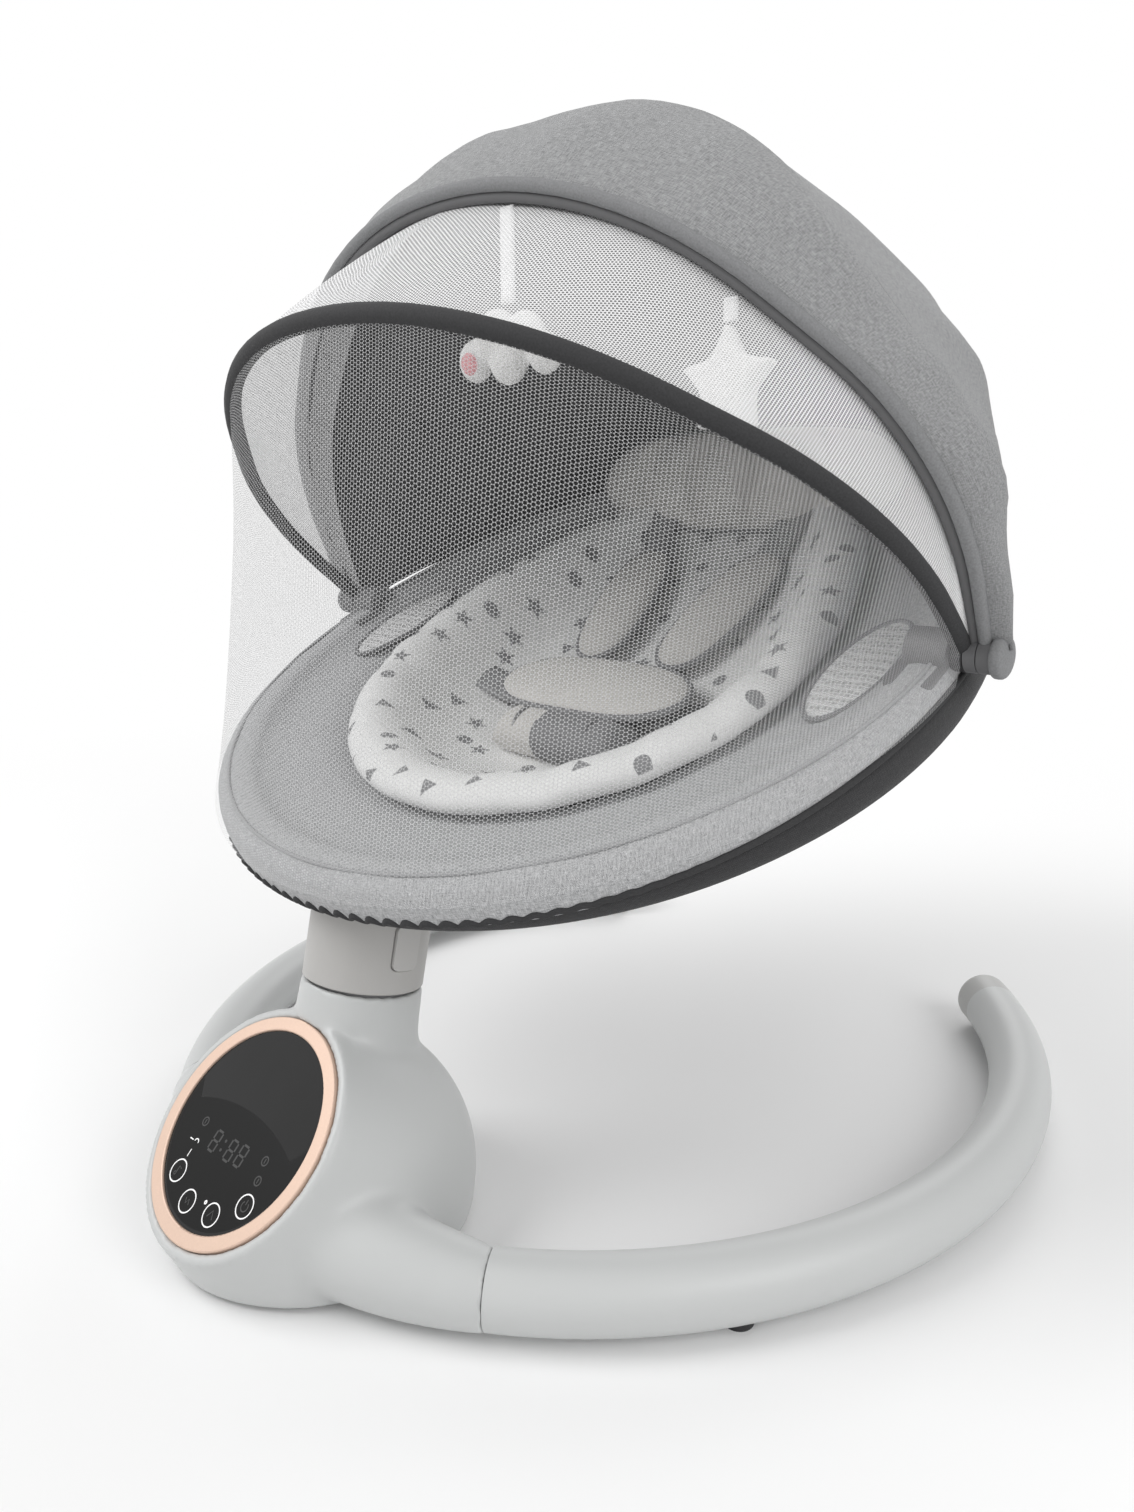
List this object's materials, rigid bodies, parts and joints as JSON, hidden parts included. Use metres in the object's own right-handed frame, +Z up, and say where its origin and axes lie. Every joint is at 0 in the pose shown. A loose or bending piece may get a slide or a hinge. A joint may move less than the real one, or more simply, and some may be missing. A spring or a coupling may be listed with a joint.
{
  "type": "baby swing",
  "caption": "Electric baby swing: padded ring seat with harness, folding canopy and net, swaying on a tilted column over a C-shaped floor ring.",
  "frame": {"origin": "middle of the bounding box on the floor that the feet stand on", "axes": "+Z up, -Y towards the control panel, +X across the seat"},
  "size_m": [0.566, 0.5972, 0.5919],
  "materials": {
    "arm_plastic": "satin moulded",
    "cap_plastic": "satin moulded",
    "inner_plastic": "plain moulded",
    "foot_rubber": "matte",
    "housing_plastic": "satin moulded",
    "rose_gold": "satin metallic",
    "black_glass": "gloss",
    "board": "solder mask",
    "bearing_steel": "ground",
    "copper": "enamelled wire",
    "screw_steel": "plated",
    "speaker_black": "paper cone",
    "socket_black": "moulded",
    "magnet": "nickel plated",
    "column_plastic": "satin moulded",
    "button_plastic": "satin moulded",
    "tube_steel": "powder coated",
    "hub_plastic": "moulded",
    "cover_fabric": "melange weave",
    "bow_rod": "drawn rod",
    "hood_fabric": "melange weave",
    "roof_net": "sheer net",
    "front_net": "sheer net",
    "pad_fabric": "printed cotton",
    "soft_grey": "brushed knit",
    "webbing": "woven webbing",
    "buckle_plastic": "moulded",
    "ribbon": "satin ribbon",
    "plush": "short pile"
  },
  "bodies": {
    "base": {"right_arm": "arm_plastic", "left_arm": "arm_plastic", "right_arm_cap": "cap_plastic", "left_arm_cap": "cap_plastic", "right_arm_joiner": "inner_plastic", "left_arm_joiner": "inner_plastic", "base_feet": "foot_rubber", "housing_shell": "housing_plastic", "panel_bezel": "rose_gold", "touch_panel": "black_glass", "panel_board": "board", "bearing_chassis": "inner_plastic", "upper_bearing": "bearing_steel", "lower_bearing": "bearing_steel", "swing_bush": "inner_plastic", "drive_coil": "copper", "housing_bottom_cover": "housing_plastic", "cover_screws": "screw_steel", "main_board": "board", "speaker": "speaker_black", "power_socket": "socket_black"},
    "swing": {"swing_shaft": "bearing_steel", "magnet_lever": "inner_plastic", "drive_magnet": "magnet", "column_sleeve": "column_plastic", "seat_bracket": "column_plastic", "release_spring": "screw_steel", "right_front_tube": "tube_steel", "left_front_tube": "tube_steel", "rear_tube": "tube_steel", "right_tube_joiner": "tube_steel", "left_tube_joiner": "tube_steel", "right_hood_hub": "hub_plastic", "left_hood_hub": "hub_plastic", "right_pivot_pin": "hub_plastic", "left_pivot_pin": "hub_plastic", "seat_cover": "cover_fabric", "seat_pad": "pad_fabric", "head_pillow": "soft_grey", "right_shoulder_pad": "soft_grey", "left_shoulder_pad": "soft_grey", "harness_buckle": "buckle_plastic", "belly_pad": "soft_grey", "right_waist_strap": "webbing", "left_waist_strap": "webbing", "crotch_pad": "soft_grey"},
    "hood_rear": {"hood_rear_bow": "bow_rod", "hood_rear_panel": "hood_fabric"},
    "hood_front": {"hood_front_bow": "bow_rod", "hood_front_panel": "hood_fabric"},
    "net": {"net_bow": "bow_rod", "net_top_panel": "roof_net", "net_front_panel": "front_net"},
    "cloud": {"cloud_ribbon": "ribbon", "cloud_toy": "plush"},
    "star": {"star_ribbon": "ribbon", "star_toy": "plush"},
    "right_button": {"right_release_button": "button_plastic"},
    "left_button": {"left_release_button": "button_plastic"},
    "buckle_key": {"buckle_button": "buckle_plastic"}
  },
  "joints": [
    {"name": "sway", "type": "hinge", "parent": "base", "child": "swing", "pos_m": [0, -0.1747, 0.128], "axis": [0, 0.2215, 0.9751], "range_deg": [-15, 15]},
    {"name": "hood_fold", "type": "hinge", "parent": "swing", "child": "hood_rear", "pos_m": [0, 0.0128, 0.312], "axis": [-1, 0, 0], "range_deg": [0, 44], "deforming": ["hood_front_panel", "hood_rear_panel", "net_front_panel"]},
    {"name": "hood_front_fold", "type": "hinge", "parent": "hood_rear", "child": "hood_front", "pos_m": [0, 0.0128, 0.312], "axis": [-1, 0, 0], "range_deg": [0, 14.6], "deforming": ["hood_front_panel", "hood_rear_panel", "net_front_panel"]},
    {"name": "net_fold", "type": "hinge", "parent": "hood_front", "child": "net", "pos_m": [0, 0.0128, 0.312], "axis": [-1, 0, 0], "range_deg": [0, 10], "deforming": ["net_top_panel", "net_front_panel"]},
    {"name": "cloud_hang", "type": "hinge", "parent": "hood_front", "child": "cloud", "pos_m": [0.048, -0.10335, 0.52212], "axis": [-1, 0, 0], "range_deg": [-58.6, 0]},
    {"name": "star_hang", "type": "hinge", "parent": "hood_front", "child": "star", "pos_m": [0.163, -0.07682, 0.46964], "axis": [-1, 0, 0], "range_deg": [-58.6, 0]},
    {"name": "right_release", "type": "slide", "parent": "swing", "child": "right_button", "axis": [-1, 0, 0], "range_m": [0, 0.004], "stiffness_N_per_m": 600, "springref_m": -0.003, "deforming": ["release_spring"]},
    {"name": "left_release", "type": "slide", "parent": "swing", "child": "left_button", "axis": [1, 0, 0], "range_m": [0, 0.004], "stiffness_N_per_m": 600, "springref_m": -0.003, "deforming": ["release_spring"]},
    {"name": "buckle_press", "type": "slide", "parent": "swing", "child": "buckle_key", "axis": [0, 0.4226, -0.9063], "range_m": [0, 0.0025], "stiffness_N_per_m": 800, "springref_m": -0.001}
  ],
  "couplings": [
    {"joint": "hood_front_fold", "follows": "hood_fold", "ratio": 0.33},
    {"joint": "cloud_hang", "follows": "hood_fold", "ratio": -1.33},
    {"joint": "star_hang", "follows": "hood_fold", "ratio": -1.33},
    {"joint": "net_fold", "follows": "hood_fold", "ratio": 0.227}
  ]
}
